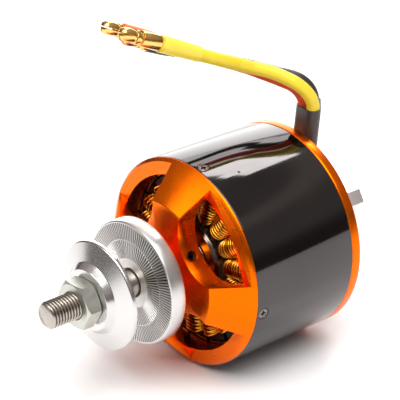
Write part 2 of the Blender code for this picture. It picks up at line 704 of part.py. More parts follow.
def main():
    for old in list(bpy.data.objects):
        bpy.data.objects.remove(old)

    orange = material("orange_anodised", (0.80, 0.22, 0.01), 0.25, 1.0)
    black_steel = material("black_nickel", (0.03, 0.03, 0.035), 0.12, 0.9)
    steel = material("bright_steel", (0.55, 0.54, 0.52), 0.3, 1.0)
    dark_steel = material("dark_screw", (0.06, 0.06, 0.06), 0.35, 0.9)
    zinc = material("zinc_nut", (0.58, 0.60, 0.55), 0.35, 1.0)
    alloy = material("turned_aluminium", (0.82, 0.82, 0.83), 0.28, 1.0)
    magnet = material("nickel_magnet", (0.45, 0.45, 0.47), 0.3, 1.0)
    core = material("lamination_steel", (0.12, 0.12, 0.13), 0.45, 0.6)
    copper = material("enamelled_copper", (0.55, 0.20, 0.05), 0.3, 0.9)
    gold = material("gold_plate", (0.90, 0.60, 0.20), 0.2, 1.0)
    yellow = material("yellow_insulation", (0.85, 0.68, 0.03), 0.4, 0.0)
    red = material("red_insulation", (0.75, 0.08, 0.02), 0.4, 0.0)
    black = material("black_insulation", (0.02, 0.02, 0.02), 0.4, 0.0)

    rotor = add_axis("rotor_axis")
    clamp = add_axis("clamp_axis")
    nut = add_axis("nut_axis")
    stator = add_axis("stator_axis")

    make_front_bell(orange, rotor)
    make_can(black_steel, orange, magnet, rotor)
    make_shaft(steel, rotor)
    make_rotor_screws(dark_steel, rotor)
    make_bearings(steel, rotor, stator)
    make_collar(alloy, rotor)
    make_washer(alloy, clamp)
    make_nut(zinc, nut)
    make_core(core, stator)
    make_coils(copper, stator)
    make_stator_base(black_steel, stator)
    make_mount(alloy, dark_steel, stator)
    leads = (
        ("yellow", YELLOW_ROUTE, yellow), ("red", RED_ROUTE, red), ("black", BLACK_ROUTE, black),
    )
    for colour, route, finish in leads:
        end = make_lead(f"lead_{colour}", route, finish)
        make_bullet(f"bullet_{colour}", end, gold)
    make_sleeve(black)


main()
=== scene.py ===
"""The looks of a brushless outrunner motor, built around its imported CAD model.

Metres, +Z up. Shapes on the shaft are drawn around the shaft axis: x to the right, y along the
shaft from the joint between front bell and can (the propeller end is at negative y), z up.
"""

import math
import random

import bmesh
import bpy
from mathutils import Euler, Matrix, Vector


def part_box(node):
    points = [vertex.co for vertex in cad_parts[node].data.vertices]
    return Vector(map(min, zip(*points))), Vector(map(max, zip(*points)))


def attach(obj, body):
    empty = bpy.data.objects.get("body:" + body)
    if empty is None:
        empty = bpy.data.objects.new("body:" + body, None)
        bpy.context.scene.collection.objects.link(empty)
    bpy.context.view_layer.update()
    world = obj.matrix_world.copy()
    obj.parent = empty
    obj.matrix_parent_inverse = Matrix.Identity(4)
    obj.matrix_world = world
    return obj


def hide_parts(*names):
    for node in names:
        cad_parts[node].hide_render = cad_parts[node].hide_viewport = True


MM = 0.001
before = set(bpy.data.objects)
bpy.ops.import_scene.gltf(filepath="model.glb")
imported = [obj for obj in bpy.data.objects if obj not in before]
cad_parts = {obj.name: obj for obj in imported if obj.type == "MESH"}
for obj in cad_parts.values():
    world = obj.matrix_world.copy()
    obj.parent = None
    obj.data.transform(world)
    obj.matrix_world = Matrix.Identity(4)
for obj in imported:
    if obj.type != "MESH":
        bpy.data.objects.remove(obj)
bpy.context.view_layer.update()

can_low, can_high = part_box("flux_ring")
CAN_GAP = 0.15 * MM  # half of the gap that the CAD leaves at each end of the can
CAN_RADIUS = (can_high.x - can_low.x) / 2
AXIS = Vector((0.0, can_low.y - CAN_GAP, (can_low.z + can_high.z) / 2))
CAN_LENGTH = can_high.y - can_low.y + 2 * CAN_GAP


def along(node):
    """How far a node reaches along the shaft, counted from the joint of bell and can."""
    low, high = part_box(node)
    return low.y - AXIS.y, high.y - AXIS.y


def reach(node):
    """A node's radius around the shaft."""
    low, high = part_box(node)
    return (high.x - low.x) / 2


# ---------------------------------------------------------------- camera, lights and floor

VIEW_AZIMUTH = 48.9125
VIEW_ELEVATION = 25.5553
CAMERA_PLACE = Vector((0.43026, -0.36805, 0.32229))
CAMERA_LENS = 198.6
LIT_POINT = Vector((0.0, 0.0, 0.03))
FLOOR_HALF = 0.9
# The sine of the elevation, and the brightness of the room there.
ROOM_BANDS = (
    (0.0, 0.10), (0.14, 0.12), (0.31, 0.30), (0.55, 0.34), (0.67, 0.50), (0.76, 0.30), (1.0, 0.36),
)
ROOM_TINT = (1.0, 0.88, 0.83)
# Name, azimuth and elevation in degrees, distance, width and height in metres, and radiance.
SOFTBOXES = (
    ("softbox_key", -154.0, 50.0, 1.6, 0.58, 0.40, 7.5),
    ("softbox_sweep", -139.0, 35.0, 1.66, 0.95, 0.46, 2.4),
    ("softbox_backdrop", -129.0, 12.0, 1.7, 1.20, 0.86, 3.2),
    ("softbox_front", -22.0, 38.0, 1.5, 0.60, 0.60, 2.6),
    ("softbox_overhead", 50.0, 68.0, 1.8, 1.70, 1.50, 5.6),
)


def add_object(name, data):
    made = bpy.data.objects.new(name, data)
    bpy.context.scene.collection.objects.link(made)
    return made


def outward(azimuth, elevation):
    """The direction out from the motor at these angles in degrees; azimuth 0 is the propeller end."""
    turn, rise = math.radians(azimuth), math.radians(elevation)
    return Vector((math.sin(turn) * math.cos(rise), -math.cos(turn) * math.cos(rise), math.sin(rise)))


def look_along(obj, direction):
    obj.rotation_mode = "QUATERNION"
    obj.rotation_quaternion = direction.to_track_quat("-Z", "Y")


def make_camera():
    data = bpy.data.cameras.new("camera")
    data.lens = CAMERA_LENS
    data.sensor_width = 36.0
    data.clip_start = 0.05
    data.clip_end = 20.0
    camera = add_object("camera", data)
    camera.location = CAMERA_PLACE
    look_along(camera, -outward(VIEW_AZIMUTH, VIEW_ELEVATION))
    bpy.context.scene.camera = camera


def make_softbox(name, azimuth, elevation, distance, width, height, radiance):
    data = bpy.data.lights.new(name, "AREA")
    data.shape = "RECTANGLE"
    data.size = width
    data.size_y = height
    data.energy = radiance * math.pi * width * height
    lamp = add_object(name, data)
    direction = outward(azimuth, elevation)
    lamp.location = LIT_POINT + direction * distance
    look_along(lamp, -direction)


def make_room():
    """A dim world in bands of brightness, which the can reflects as long streaks."""
    world = bpy.data.worlds.new("studio")
    world.use_nodes = True
    tree = world.node_tree
    direction = add_node(tree, "ShaderNodeSeparateXYZ")
    tree.links.new(add_node(tree, "ShaderNodeTexCoord").outputs["Generated"], direction.inputs[0])
    bands = add_node(tree, "ShaderNodeFloatCurve")
    curve = bands.mapping.curves[0]
    curve.points[0].location = ROOM_BANDS[0]
    curve.points[1].location = ROOM_BANDS[-1]
    for place, brightness in ROOM_BANDS[1:-1]:
        curve.points.new(place, brightness)
    bands.mapping.update()
    tree.links.new(direction.outputs["Z"], bands.inputs["Value"])
    tree.nodes["Background"].inputs["Color"].default_value = (*ROOM_TINT, 1.0)
    tree.links.new(bands.outputs[0], tree.nodes["Background"].inputs["Strength"])
    bpy.context.scene.world = world


def make_floor():
    bm = bmesh.new()
    bmesh.ops.create_grid(bm, x_segments=1, y_segments=1, size=FLOOR_HALF)
    mesh = bpy.data.meshes.new("floor")
    bm.to_mesh(mesh)
    bm.free()
    mesh.materials.append(floor_material())
    add_object("floor", mesh)


def make_studio():
    bpy.context.scene.view_settings.view_transform = "Standard"
    make_room()
    for softbox in SOFTBOXES:
        make_softbox(*softbox)
    make_floor()


# ---------------------------------------------------------------- materials


def new_material(name):
    made = bpy.data.materials.new(name)
    made.use_nodes = True
    return made, made.node_tree, made.node_tree.nodes["Principled BSDF"]


def add_node(tree, kind, **settings):
    node = tree.nodes.new(kind)
    for name, value in settings.items():
        setattr(node, name, value)
    return node


def maths(tree, operation, first, second=None):
    node = add_node(tree, "ShaderNodeMath", operation=operation)
    for slot, value in zip(node.inputs, (first, second)):
        if isinstance(value, (int, float)):
            slot.default_value = value
        elif value is not None:
            tree.links.new(value, slot)
    return node.outputs[0]


NOISE_RANGE = (0.3, 0.7)  # where most values of a noise lie


def noise(tree, vector, scale, detail):
    node = add_node(tree, "ShaderNodeTexNoise")
    node.inputs["Scale"].default_value = scale
    node.inputs["Detail"].default_value = detail
    node.inputs["Roughness"].default_value = 0.55
    tree.links.new(vector, node.inputs["Vector"])
    return node.outputs["Fac"]


def ramp(tree, value, low, high):
    """Spreads the usual values of a noise between low and high."""
    node = add_node(tree, "ShaderNodeMapRange")
    tree.links.new(value, node.inputs["Value"])
    node.inputs["From Min"].default_value = NOISE_RANGE[0]
    node.inputs["From Max"].default_value = NOISE_RANGE[1]
    node.inputs["To Min"].default_value = low
    node.inputs["To Max"].default_value = high
    return node.outputs["Result"]


def blend_colours(tree, value, low, high):
    node = add_node(tree, "ShaderNodeMix", data_type="RGBA")
    tree.links.new(value, node.inputs["Factor"])
    node.inputs["A"].default_value = (*low, 1.0)
    node.inputs["B"].default_value = (*high, 1.0)
    return node.outputs["Result"]


def object_point(tree):
    return add_node(tree, "ShaderNodeTexCoord").outputs["Object"]


def turned_point(tree):
    """(distance from the shaft, y, 0): whatever uses it runs in rings round the shaft."""
    parts = add_node(tree, "ShaderNodeSeparateXYZ")
    tree.links.new(object_point(tree), parts.inputs[0])
    x2 = maths(tree, "MULTIPLY", parts.outputs["X"], parts.outputs["X"])
    z2 = maths(tree, "MULTIPLY", parts.outputs["Z"], parts.outputs["Z"])
    radius = maths(tree, "SQRT", maths(tree, "ADD", x2, z2))
    joined = add_node(tree, "ShaderNodeCombineXYZ")
    tree.links.new(radius, joined.inputs["X"])
    tree.links.new(parts.outputs["Y"], joined.inputs["Y"])
    return joined.outputs[0]


def add_bump(tree, shader, height, strength, distance):
    bump = add_node(tree, "ShaderNodeBump")
    bump.inputs["Strength"].default_value = strength
    bump.inputs["Distance"].default_value = distance
    tree.links.new(height, bump.inputs["Height"])
    tree.links.new(bump.outputs["Normal"], shader.inputs["Normal"])


def turned_metal(name, low, high, roughness, groove):
    """Lathe-turned metal: fine rings in the surface, and slow changes of colour and gloss."""
    made, tree, shader = new_material(name)
    shader.inputs["Metallic"].default_value = 1.0
    rings = noise(tree, turned_point(tree), scale=9000.0, detail=2.0)
    cloud = noise(tree, object_point(tree), scale=90.0, detail=4.0)
    tree.links.new(blend_colours(tree, cloud, low, high), shader.inputs["Base Color"])
    smudge = ramp(tree, cloud, low=0.8 * roughness, high=1.3 * roughness)
    streak = ramp(tree, rings, low=-0.15 * groove, high=0.25 * groove)
    tree.links.new(maths(tree, "ADD", smudge, streak), shader.inputs["Roughness"])
    add_bump(tree, shader, rings, strength=groove, distance=0.02 * MM)
    return made


def plain_metal(name, low, high, roughness, grain=0.1):
    """Ground, plated or oxidised metal without turning rings."""
    made, tree, shader = new_material(name)
    shader.inputs["Metallic"].default_value = 1.0
    point = object_point(tree)
    cloud = noise(tree, point, scale=260.0, detail=5.0)
    fine = noise(tree, point, scale=5200.0, detail=2.0)
    tree.links.new(blend_colours(tree, cloud, low, high), shader.inputs["Base Color"])
    gloss = ramp(tree, cloud, low=0.75 * roughness, high=1.35 * roughness)
    tree.links.new(gloss, shader.inputs["Roughness"])
    add_bump(tree, shader, fine, strength=grain, distance=0.03 * MM)
    return made


def insulation(name, low, high, roughness, sheen=0.0, through=0.0, crumple=0.0):
    """Silicone or heat-shrink plastic: soft gloss, faint unevenness and, if crumpled, ridges."""
    made, tree, shader = new_material(name)
    shader.inputs["Subsurface Weight"].default_value = through
    shader.inputs["Subsurface Radius"].default_value = (1.0, 0.8, 0.3)
    shader.inputs["Subsurface Scale"].default_value = 0.6 * MM
    shader.inputs["Sheen Weight"].default_value = sheen
    point = object_point(tree)
    cloud = noise(tree, point, scale=220.0, detail=4.0)
    fine = noise(tree, point, scale=2600.0, detail=3.0)
    tree.links.new(blend_colours(tree, cloud, low, high), shader.inputs["Base Color"])
    gloss = ramp(tree, fine, low=0.85 * roughness, high=1.2 * roughness)
    tree.links.new(gloss, shader.inputs["Roughness"])
    folds = noise(tree, point, scale=620.0, detail=2.0)
    ridges = maths(tree, "MULTIPLY", folds, 8.0 * crumple)
    height = maths(tree, "ADD", maths(tree, "ADD", cloud, fine), ridges)
    add_bump(tree, shader, height, strength=0.12 + crumple, distance=0.06 * MM)
    return made


LAMINATION_PITCH = 0.35 * MM


def layered_steel(name):
    """The edges of stacked laminations, which show as fine lines across the shaft direction."""
    made, tree, shader = new_material(name)
    shader.inputs["Metallic"].default_value = 0.8
    parts = add_node(tree, "ShaderNodeSeparateXYZ")
    tree.links.new(object_point(tree), parts.inputs[0])
    turns = maths(tree, "MULTIPLY", parts.outputs["Y"], 2 * math.pi / LAMINATION_PITCH)
    wave = maths(tree, "SINE", turns)
    cloud = noise(tree, object_point(tree), scale=300.0, detail=4.0)
    shade = blend_colours(tree, cloud, low=(0.02, 0.02, 0.022), high=(0.07, 0.065, 0.06))
    tree.links.new(shade, shader.inputs["Base Color"])
    tree.links.new(ramp(tree, cloud, low=0.35, high=0.55), shader.inputs["Roughness"])
    add_bump(tree, shader, wave, strength=0.4, distance=0.05 * MM)
    return made


def floor_material():
    made, tree, shader = new_material("studio_floor")
    shader.inputs["Roughness"].default_value = 0.6
    shader.inputs["Specular IOR Level"].default_value = 0.2
    cloud = noise(tree, object_point(tree), scale=3.0, detail=2.0)
    shade = blend_colours(tree, cloud, low=(0.86, 0.86, 0.86), high=(0.90, 0.90, 0.90))
    tree.links.new(shade, shader.inputs["Base Color"])
    return made


# Name, darkest and lightest colour and roughness, then, for a turned metal, how deep its rings are;
# for a plain one, how deep its grain is; and for insulation, its sheen, how far light goes through
# it and how crumpled it is.
ORANGE = turned_metal("orange_anodised_metal", (0.92, 0.148, 0.001), (0.97, 0.170, 0.002), 0.27, 0.01)
BLACK_NICKEL = turned_metal(
    "black_nickel_metal", (0.075, 0.070, 0.070), (0.095, 0.088, 0.086), 0.07, 0.03
)
ALUMINIUM = turned_metal("turned_aluminium_metal", (0.66, 0.65, 0.64), (0.74, 0.73, 0.72), 0.30, 0.05)
BRIGHT_ALUMINIUM = turned_metal(
    "bright_aluminium_metal", (0.66, 0.65, 0.64), (0.71, 0.70, 0.69), 0.20, 0.03
)
# Painted shade: a darker copy of the collar's aluminium, laid in the grooves between its teeth.
GROOVE_SHADE_METAL = plain_metal("groove_painted_shade_metal", (0.26, 0.22, 0.19), (0.36, 0.32, 0.28), 0.4)
PALE_ALUMINIUM = turned_metal("pale_aluminium_metal", (0.76, 0.72, 0.71), (0.82, 0.78, 0.77), 0.45, 0.05)
TUBE_ALLOY = turned_metal("stator_alloy_metal", (0.50, 0.48, 0.45), (0.62, 0.60, 0.56), 0.24, 0.25)
SHAFT_STEEL = turned_metal("shaft_steel_metal", (0.40, 0.37, 0.33), (0.54, 0.50, 0.45), 0.24, 0.20)
# Painted shade: a darker copy of the shaft steel, laid in the roots of the thread.
THREAD_SHADE_STEEL = plain_metal("thread_root_shade_metal", (0.10, 0.075, 0.055), (0.18, 0.14, 0.11), 0.4)
BEARING_STEEL = turned_metal("bearing_steel_metal", (0.50, 0.50, 0.50), (0.66, 0.66, 0.66), 0.14, 0.20)
DARK_STEEL = turned_metal("dark_steel_metal", (0.16, 0.13, 0.10), (0.26, 0.22, 0.18), 0.16, 0.05)
ZINC = plain_metal("zinc_metal", (0.52, 0.54, 0.49), (0.66, 0.67, 0.61), 0.38, 0.2)
BLACK_OXIDE = plain_metal("black_oxide_metal", (0.03, 0.03, 0.032), (0.06, 0.058, 0.055), 0.30, 0.2)
SCREW_STEEL = plain_metal("screw_steel_metal", (0.14, 0.13, 0.12), (0.26, 0.24, 0.22), 0.18, 0.05)
MAGNET_NICKEL = plain_metal("magnet_nickel_metal", (0.38, 0.38, 0.39), (0.50, 0.50, 0.50), 0.25)
COPPER = plain_metal("enamelled_copper_metal", (0.86, 0.36, 0.02), (1.0, 0.60, 0.08), 0.17, 0.05)
DARK_COPPER = plain_metal("dark_copper_metal", (0.40, 0.12, 0.008), (0.62, 0.24, 0.02), 0.18, 0.05)
GOLD = plain_metal("gold_plate_metal", (0.86, 0.50, 0.12), (1.0, 0.68, 0.24), 0.18, 0.05)
YELLOW = insulation(
    "yellow_insulation_plastic", (0.78, 0.56, 0.015), (0.93, 0.72, 0.04), 0.40, 0.1, 0.12, 0.6
)
YELLOW_SHRINK = insulation(
    "yellow_shrink_plastic", (0.90, 0.68, 0.05), (0.96, 0.78, 0.10), 0.36, 0.0, 0.25
)
RED = insulation("red_insulation_plastic", (0.66, 0.06, 0.01), (0.88, 0.12, 0.02), 0.38, 0.1, 0.15, 0.9)
RED_SHRINK = insulation("red_shrink_plastic", (0.80, 0.13, 0.02), (0.92, 0.22, 0.05), 0.36, 0.0, 0.25)
BLACK = insulation("black_insulation_plastic", (0.020, 0.015, 0.013), (0.038, 0.029, 0.025), 0.38, 0.05)
SLEEVE_BLACK = insulation(
    "black_sleeve_plastic", (0.026, 0.017, 0.015), (0.045, 0.032, 0.028), 0.34, 0.05
)
LAMINATION = layered_steel("lamination_metal")

# ---------------------------------------------------------------- mesh helpers

SMOOTH_ANGLE = 38.0
BEVEL_ANGLE = 40.0


def finish_mesh(name, bm, material=None, smooth_angle=SMOOTH_ANGLE):
    bmesh.ops.recalc_face_normals(bm, faces=bm.faces)
    if bm.calc_volume(signed=True) < 0:
        bmesh.ops.reverse_faces(bm, faces=bm.faces)
    mesh = bpy.data.meshes.new(name)
    bm.to_mesh(mesh)
    bm.free()
    mesh.shade_smooth()
    mesh.set_sharp_from_angle(angle=math.radians(smooth_angle))
    if material:
        mesh.materials.append(material)
    return add_object(name, mesh)


def bridge(bm, first, second):
    count = len(first)
    for i in range(count):
        j = (i + 1) % count
        bm.faces.new((first[i], first[j], second[j], second[i]))


def skin(bm, rings, closed=False):
    """Joins rings of vertices one after the other, and closes them into a loop or with two caps."""
    for first, second in zip(rings, rings[1:]):
        bridge(bm, first, second)
    if closed:
        bridge(bm, rings[-1], rings[0])
    else:
        bm.faces.new(rings[0])
        bm.faces.new(rings[-1])


def solid(name, rings, material=None, closed=False, smooth_angle=SMOOTH_ANGLE):
    """A mesh over rings of points, closed as in skin()."""
    bm = bmesh.new()
    skin(bm, [[bm.verts.new(point) for point in ring] for ring in rings], closed)
    return finish_mesh(name, bm, material, smooth_angle)


def rounded(outline, radius, steps):
    """A closed outline with each corner cut to a small curve, where its sides leave room."""
    points = [Vector(p) for p in outline]
    made = []
    for i, corner in enumerate(points):
        before, after = points[i - 1], points[(i + 1) % len(points)]
        reach_back = min(radius, (before - corner).length * 0.45)
        reach_on = min(radius, (after - corner).length * 0.45)
        start = corner + (before - corner).normalized() * reach_back
        end = corner + (after - corner).normalized() * reach_on
        for step in range(steps + 1):
            t = step / steps
            made.append(tuple(start * (1 - t) ** 2 + corner * (2 * t * (1 - t)) + end * t * t))
    return made


def circle(radius, count):
    """This many points round a circle, as pairs."""
    turns = [2 * math.pi * i / count for i in range(count)]
    return [(radius * math.cos(a), radius * math.sin(a)) for a in turns]


def lathe(name, outline, material, facets=192):
    """A piece turned round the shaft from a closed outline of (radius, y) pairs."""
    rings = [[(x, y, z) for x, z in circle(radius, facets)] for radius, y in outline]
    made = solid(name, rings, material, closed=True)
    made.location = AXIS
    return made


def spindle(name, outline, material=None, facets=32):
    """A solid turned round z from (radius, z) pairs, with flat end caps."""
    rings = [[(x, y, z) for x, y in circle(radius, facets)] for radius, z in outline]
    return solid(name, rings, material)


def polar(radius, degrees):
    return radius * math.cos(math.radians(degrees)), radius * math.sin(math.radians(degrees))


def arc(radius, start, end, steps, centre=(0.0, 0.0)):
    points = [polar(radius, start + (end - start) * i / steps) for i in range(steps + 1)]
    return [(x + centre[0], z + centre[1]) for x, z in points]


def rotated(outline, degrees):
    c, s = math.cos(math.radians(degrees)), math.sin(math.radians(degrees))
    return [(x * c - z * s, x * s + z * c) for x, z in outline]


def prism_tool(outline, y_front, y_back):
    """A cutting tool along the shaft."""
    tool = solid("cutter", [[(x, y, z) for x, z in outline] for y in (y_front, y_back)])
    tool.location = AXIS
    return tool


def stamp_tool(outline, top, bottom, taper=1.0):
    """A cutting tool along z, whose outline is scaled by the taper at the bottom."""
    upper = [(x, y, top) for x, y in outline]
    lower = [(x * taper, y * taper, bottom) for x, y in outline]
    return solid("cutter", [upper, lower])


def cross_tool(width, span, depth, top):
    """A Phillips recess, to be cut from a head whose top is at this height."""
    half = width / 2
    outline = []
    for quarter in range(4):
        outline += rotated([(span / 2, -half), (span / 2, half), (half, half)], quarter * 90)
    return stamp_tool(outline, top + depth * 0.2, top - depth, taper=0.55)


def hex_tool(flats, depth, top):
    """A hexagon socket, to be cut from a head whose top is at this height."""
    corner = flats / 2 / math.cos(math.radians(30))
    return stamp_tool([polar(corner, 60 * i) for i in range(6)], top + MM, top - depth)


def point_outward(obj, degrees, y):
    """Turns an object drawn along +Z so that it points out from the shaft at this angle."""
    obj.rotation_euler = Euler((0.0, math.radians(90.0 - degrees), 0.0))
    obj.location = AXIS + Vector((0.0, y, 0.0))


def cut(target, cutters):
    """Cuts tools out of a piece for good, and removes the tools."""
    for i, cutter in enumerate(cutters):
        trim = target.modifiers.new(f"cut_{i}", "BOOLEAN")
        trim.operation = "DIFFERENCE"
        trim.solver = "EXACT"
        trim.object = cutter
    bake_modifiers(target)
    for cutter in cutters:
        bpy.data.objects.remove(cutter)


def bake_modifiers(obj):
    graph = bpy.context.evaluated_depsgraph_get()
    baked = bpy.data.meshes.new_from_object(obj.evaluated_get(graph))
    obj.modifiers.clear()
    obj.data = baked
    baked.shade_smooth()
    baked.set_sharp_from_angle(angle=math.radians(SMOOTH_ANGLE))


def add_bevel(obj, width):
    """Rounds an object's sharp edges a little."""
    bevel = obj.modifiers.new("soft_edges", "BEVEL")
    bevel.width = width
    bevel.segments = 2
    bevel.limit_method = "ANGLE"
    bevel.angle_limit = math.radians(BEVEL_ANGLE)


def place_piece(piece, body, slot, *nodes):
    """Rides a piece on a body and lets it stand for CAD nodes, which it hides; the slot is not used."""
    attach(piece, body)
    if nodes:
        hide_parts(*nodes)


# ---------------------------------------------------------------- front bell

SPOKES = 4
SPOKE_ANGLE = -8.3
WINDOW_ANGLE = SPOKE_ANGLE + 180 / SPOKES
FACE_Y = -9.5 * MM
FACE_RADIUS = 21.7 * MM
PLATE_RADIUS = 24.2 * MM
PLATE_BACK = -3.1 * MM
NECK_RADIUS = 10.0 * MM
BOSS_RADIUS = 6.5 * MM
BOSS_BACK = 1.6 * MM
SHAFT_HOLE = 4.15 * MM
SEAM_CHAMFER = 0.35 * MM
LIP_OUTER = 29.2 * MM
LIP_INNER = 27.0 * MM
LIP_DEPTH = 5.2 * MM
LEDGE_Y = -1.3 * MM
LEDGE_RISE = 0.3 * MM  # how thick the ledge is where it meets the lip
WINDOW_OUTER = 26.2 * MM
WINDOW_HALF_ANGLE = 29.0
WINDOW_ARC_CENTRE = 26.8 * MM
WINDOW_ARC_RADIUS = 13.4 * MM
SCREW_Y = 2.5 * MM
SCREW_ANGLE = -9.8
SCREW_HOLE = 1.25 * MM
SET_SCREW_Y = -6.5 * MM
SET_SCREW_HOLE = 1.6 * MM
SET_HOLE_SPAN = (3.0 * MM, 16.0 * MM)  # from inside the shaft hole to outside the hub
SET_SCREWS = 2
CUT_FRONT = -20.0 * MM  # in front of all of the bell
CUT_MARGIN = 2.0 * MM  # how far a cutting tool sticks out of what it cuts


def spoke_angles(first):
    """Four angles, a quarter turn apart."""
    return [first + i * 360 / SPOKES for i in range(SPOKES)]


def window_outline(outer):
    """Radial sides, a round outer edge and an arc-shaped hub wall."""
    centre = WINDOW_ARC_CENTRE * math.cos(math.radians(WINDOW_HALF_ANGLE))
    offset = WINDOW_ARC_CENTRE * math.sin(math.radians(WINDOW_HALF_ANGLE))
    inner = centre - math.sqrt(WINDOW_ARC_RADIUS**2 - offset**2)
    corner_x, corner_z = polar(inner, WINDOW_HALF_ANGLE)
    corner = math.degrees(math.atan2(corner_z, corner_x - WINDOW_ARC_CENTRE))
    edge = arc(outer, -WINDOW_HALF_ANGLE, WINDOW_HALF_ANGLE, 32)
    hub = arc(WINDOW_ARC_RADIUS, corner, 360 - corner, 40, (WINDOW_ARC_CENTRE, 0.0))
    return edge + hub


def make_bell():
    neck_front = along("front_bell")[0]
    outline = [
        (SHAFT_HOLE, neck_front), (NECK_RADIUS, neck_front), (NECK_RADIUS, FACE_Y),
        (FACE_RADIUS, FACE_Y), (CAN_RADIUS, -SEAM_CHAMFER), (CAN_RADIUS, 0.0), (LIP_OUTER, 0.0),
        (LIP_OUTER, LIP_DEPTH), (LIP_INNER, LIP_DEPTH), (LIP_INNER, LEDGE_Y + LEDGE_RISE),
        (PLATE_RADIUS, PLATE_BACK), (BOSS_RADIUS, PLATE_BACK), (BOSS_RADIUS, BOSS_BACK),
        (SHAFT_HOLE, BOSS_BACK),
    ]
    bell = lathe("bell_shell", rounded(outline, radius=0.25 * MM, steps=2), ORANGE)
    tools = []
    for window, screw in zip(spoke_angles(WINDOW_ANGLE), spoke_angles(SCREW_ANGLE)):
        opening = rotated(window_outline(WINDOW_OUTER), window)
        ledge = rotated(window_outline(CAN_RADIUS + CUT_MARGIN), window)
        tools.append(prism_tool(opening, CUT_FRONT, CUT_MARGIN))
        tools.append(prism_tool(ledge, CUT_FRONT, LEDGE_Y))
        hole = spindle("cutter", ((SCREW_HOLE, LIP_INNER - MM), (SCREW_HOLE, CAN_RADIUS + CUT_MARGIN)))
        point_outward(hole, screw, SCREW_Y)
        tools.append(hole)
    for window in spoke_angles(WINDOW_ANGLE)[:SET_SCREWS]:
        hole = spindle("cutter", [(SET_SCREW_HOLE, end) for end in SET_HOLE_SPAN])
        point_outward(hole, window, SET_SCREW_Y)
        tools.append(hole)
    cut(bell, tools)
    add_bevel(bell, 0.22 * MM)
    bake_modifiers(bell)
    place_piece(bell, "rotor", "orange_anodised", "front_bell")


# ---------------------------------------------------------------- can, rear ring and screws

CAN_WALL = 2.0 * MM
CAN_SEAM = 0.05 * MM  # left open at each end of the can
SCREW_HEAD = 1.75 * MM
SCREW_SHANK = 0.95 * MM
HEAD_PLAY = 0.1 * MM
SINK_DEPTH = 1.3 * MM
DIMPLE_ANGLE = 68.5
DIMPLE_Y = 10.4 * MM
SET_SCREW_RADIUS = 1.5 * MM
SET_SCREW_TOP = 12.6 * MM


def make_can():
    start, end = CAN_SEAM, CAN_LENGTH - CAN_SEAM
    inner = CAN_RADIUS - CAN_WALL
    outline = [(inner, start), (CAN_RADIUS, start), (CAN_RADIUS, end), (inner, end)]
    outline = rounded(outline, radius=0.25 * MM, steps=3)
    can = lathe("can_shell", outline, BLACK_NICKEL, facets=256)
    sink = (
        (SCREW_HOLE, inner - MM), (SCREW_HOLE, CAN_RADIUS - SINK_DEPTH),
        (SCREW_HEAD + HEAD_PLAY, CAN_RADIUS - 0.5 * MM), (SCREW_HEAD + HEAD_PLAY, CAN_RADIUS + MM),
    )
    tools = []
    for angle in spoke_angles(SCREW_ANGLE):
        hole = spindle("cutter", sink)
        point_outward(hole, angle, SCREW_Y)
        tools.append(hole)
    pit = ((0.1 * MM, CAN_RADIUS - 0.35 * MM), (0.5 * MM, CAN_RADIUS + 0.1 * MM))
    dimple = spindle("cutter", pit, facets=16)
    point_outward(dimple, DIMPLE_ANGLE, DIMPLE_Y)
    tools.append(dimple)
    cut(can, tools)
    place_piece(can, "rotor", "black_nickel", "flux_ring")


def make_rear_ring():
    front, back = along("rear_ring")
    seam = CAN_LENGTH
    outline = [
        (LIP_INNER, front), (LIP_OUTER, front), (LIP_OUTER, seam), (CAN_RADIUS - SEAM_CHAMFER, seam),
        (CAN_RADIUS, seam + SEAM_CHAMFER), (CAN_RADIUS, back - 0.6 * MM), (CAN_RADIUS - 0.6 * MM, back),
        (LIP_INNER + 0.4 * MM, back), (LIP_INNER, back - 0.4 * MM),
    ]
    ring = lathe("rear_rim", rounded(outline, radius=0.12 * MM, steps=2), ORANGE, facets=256)
    place_piece(ring, "rotor", "orange_anodised", "rear_ring")


def make_can_screws():
    """Countersunk screws with a small crown round the cross recess."""
    top = CAN_RADIUS - 0.08 * MM
    outline = [
        (SCREW_SHANK, LIP_INNER + 0.4 * MM), (SCREW_SHANK, top - SINK_DEPTH),
        (SCREW_HEAD, top - 0.4 * MM), (SCREW_HEAD, top - 0.18 * MM), (SCREW_HEAD - 0.18 * MM, top),
        (SCREW_HEAD - 0.4 * MM, top), (SCREW_HEAD - 0.5 * MM, top - 0.14 * MM),
    ]
    for i, angle in enumerate(spoke_angles(SCREW_ANGLE)):
        screw = spindle(f"can_screw_{i + 1}", outline, SCREW_STEEL)
        cut(screw, [cross_tool(width=0.6 * MM, span=2.2 * MM, depth=1.0 * MM, top=top)])
        point_outward(screw, angle, SCREW_Y)
        place_piece(screw, "rotor", "dark_screw", f"bell_screw_{i + 1}")


def make_set_screws():
    outline = [
        (SET_SCREW_RADIUS - 0.5 * MM, 4.4 * MM), (SET_SCREW_RADIUS, 4.9 * MM),
        (SET_SCREW_RADIUS, SET_SCREW_TOP - 0.2 * MM), (SET_SCREW_RADIUS - 0.2 * MM, SET_SCREW_TOP),
    ]
    for i, angle in enumerate(spoke_angles(WINDOW_ANGLE)[:SET_SCREWS]):
        screw = spindle(f"grub_screw_{i + 1}", outline, BLACK_OXIDE)
        cut(screw, [hex_tool(flats=1.5 * MM, depth=1.6 * MM, top=SET_SCREW_TOP)])
        point_outward(screw, angle, SET_SCREW_Y)
        place_piece(screw, "rotor", "dark_screw", f"set_screw_{i + 1}")


# ---------------------------------------------------------------- shaft and propeller clamp

THREAD_PITCH = 1.0 * MM
THREAD_DEPTH = 0.56 * MM
THREAD_END = -26.5 * MM
THREAD_STEPS = 10  # rings of points in each turn of the thread
SHAFT_FACETS = 48
TIP_CHAMFER = 0.75 * MM
TIP_SLOPE = 1.1
CIRCLIP_GROOVE = 0.6 * MM


def cut_depth(phase):
    """How deep the thread is cut at this share of a turn; 0.5 is the middle of its land."""
    return max(0.0, min(1.0, 2.6 * abs(phase - 0.5) - 0.15)) * THREAD_DEPTH


